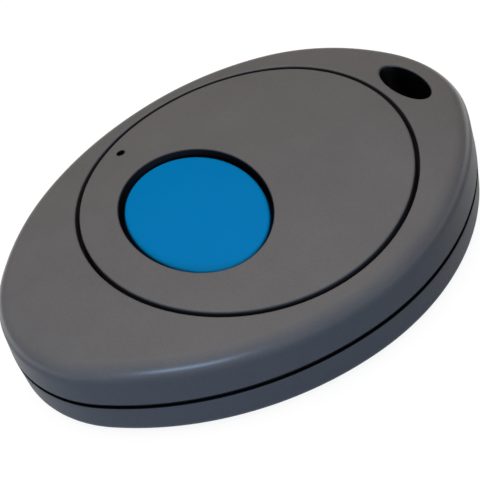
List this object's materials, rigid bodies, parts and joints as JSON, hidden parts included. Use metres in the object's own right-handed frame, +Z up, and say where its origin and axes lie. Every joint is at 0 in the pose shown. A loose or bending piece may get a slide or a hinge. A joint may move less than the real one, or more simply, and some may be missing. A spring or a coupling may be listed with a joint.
{
  "type": "wireless push button",
  "caption": "Almond-shaped key-fob transmitter with a crowned two-part case, a round face disc, an oval thumb button and a key-ring hole.",
  "frame": {"origin": "middle of the case's footprint, on its bottom face", "axes": "+X along the case towards the key-ring hole, +Y across it, +Z up through the button"},
  "size_m": [0.0584, 0.0444, 0.012],
  "materials": {
    "case_plastic": "fine spark-textured dark grey",
    "button_plastic": "matte blue",
    "silicone": "translucent grey silicone",
    "seal_rubber": "black",
    "board_laminate": "green solder mask",
    "cell_steel": "nickel-plated",
    "spring_steel": "bright",
    "contact_metal": "plated",
    "screw_steel": "zinc-plated",
    "switch_plastic": "black",
    "tinned_metal": "tinned",
    "lamp_resin": "milky",
    "clear_plastic": "smoky clear",
    "chip_resin": "moulded black",
    "capacitor_ceramic": "tan ceramic",
    "inductor_ferrite": "dark grey ferrite"
  },
  "bodies": {
    "case": {"upper_shell": "case_plastic", "lower_shell": "case_plastic", "face_disc": "case_plastic", "return_pad": "silicone", "parting_seal": "seal_rubber", "circuit_board": "board_laminate", "coin_cell": "cell_steel", "cell_clip": "spring_steel", "cell_contact": "contact_metal", "case_screws": "screw_steel", "switch_base": "switch_plastic", "switch_cover": "spring_steel", "switch_dome": "spring_steel", "switch_leads": "tinned_metal", "status_led": "lamp_resin", "light_guide": "clear_plastic", "microcontroller": "chip_resin", "microcontroller_leads": "tinned_metal", "radio_chip": "chip_resin", "crystal_can": "tinned_metal", "antenna_loop": "contact_metal", "chip_capacitors": "capacitor_ceramic", "chip_resistors": "chip_resin", "chip_inductors": "inductor_ferrite"},
    "button": {"push_button": "button_plastic", "switch_plunger": "switch_plastic"}
  },
  "joints": [
    {"name": "button_press", "type": "slide", "parent": "case", "child": "button", "axis": [0, 0, -1], "range_m": [0, 0.0004], "stiffness_N_per_m": 4000, "deforming": ["return_pad", "switch_dome"]}
  ]
}
